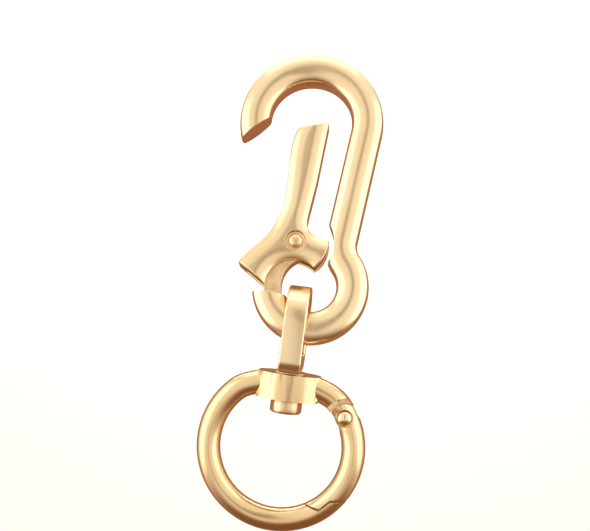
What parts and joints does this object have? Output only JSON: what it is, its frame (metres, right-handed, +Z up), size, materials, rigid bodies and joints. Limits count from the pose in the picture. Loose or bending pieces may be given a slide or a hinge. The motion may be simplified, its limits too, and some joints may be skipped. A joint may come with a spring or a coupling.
{
  "type": "carabiner keyring",
  "caption": "Gourd-shaped carabiner hook with a sprung lever gate, a swivel eye and a round spring-gate key ring, in satin gold metal.",
  "frame": {"origin": "the seat at the inside top of the hook, at mid depth", "axes": "+Z up towards the hook's top, -Y towards the front, +X to the right seen from the front"},
  "size_m": [0.0355, 0.0186, 0.092],
  "materials": {
    "gold_body": "satin light-gold plating on a die-cast body",
    "gold_gate": "satin light-gold plating on a die-cast lever",
    "gold_eye": "satin light-gold plating, soft edges",
    "gold_ring": "satin light-gold plating on a round rod",
    "gold_ring_gate": "satin light-gold plating on a round rod",
    "gold_rivet": "satin light-gold plated rivet",
    "spring_steel": "drawn spring wire"
  },
  "bodies": {
    "hook": {"hook_body": "gold_body", "gate_spring": "spring_steel"},
    "gate": {"gate_lever": "gold_gate", "gate_pivot_pin": "gold_rivet"},
    "eye": {"swivel_eye": "gold_eye", "swivel_rivet": "gold_rivet"},
    "ring": {"ring_body": "gold_ring", "swivel_collar": "gold_rivet"},
    "ring_gate": {"ring_gate": "gold_ring_gate", "ring_gate_pin": "gold_rivet", "ring_gate_spring": "spring_steel", "ring_gate_plunger": "spring_steel"}
  },
  "joints": [
    {"name": "gate_pivot", "type": "hinge", "parent": "hook", "child": "gate", "pos_m": [-0.0028, 0, -0.03215], "axis": [0, 1, 0], "range_deg": [-27, 6], "stiffness_Nm_per_rad": 0.01, "springref_deg": -42.97},
    {"name": "eye_swing", "type": "hinge", "parent": "hook", "child": "eye", "pos_m": [-0.0026, 0, -0.04821], "axis": [0.9914, 0, -0.1305], "range_deg": [-100, 70]},
    {"name": "swivel_turn", "type": "hinge", "parent": "eye", "child": "ring", "pos_m": [-0.00399, 0.00285, -0.05874], "axis": [0.1261, -0.2588, 0.9577], "continuous": true},
    {"name": "ring_gate_pivot", "type": "hinge", "parent": "ring", "child": "ring_gate", "pos_m": [0.00658, 0.00407, -0.06475], "axis": [0.0338, 0.9659, 0.2566], "range_deg": [0, 40], "stiffness_Nm_per_rad": 0.002, "springref_deg": -34.38}
  ]
}
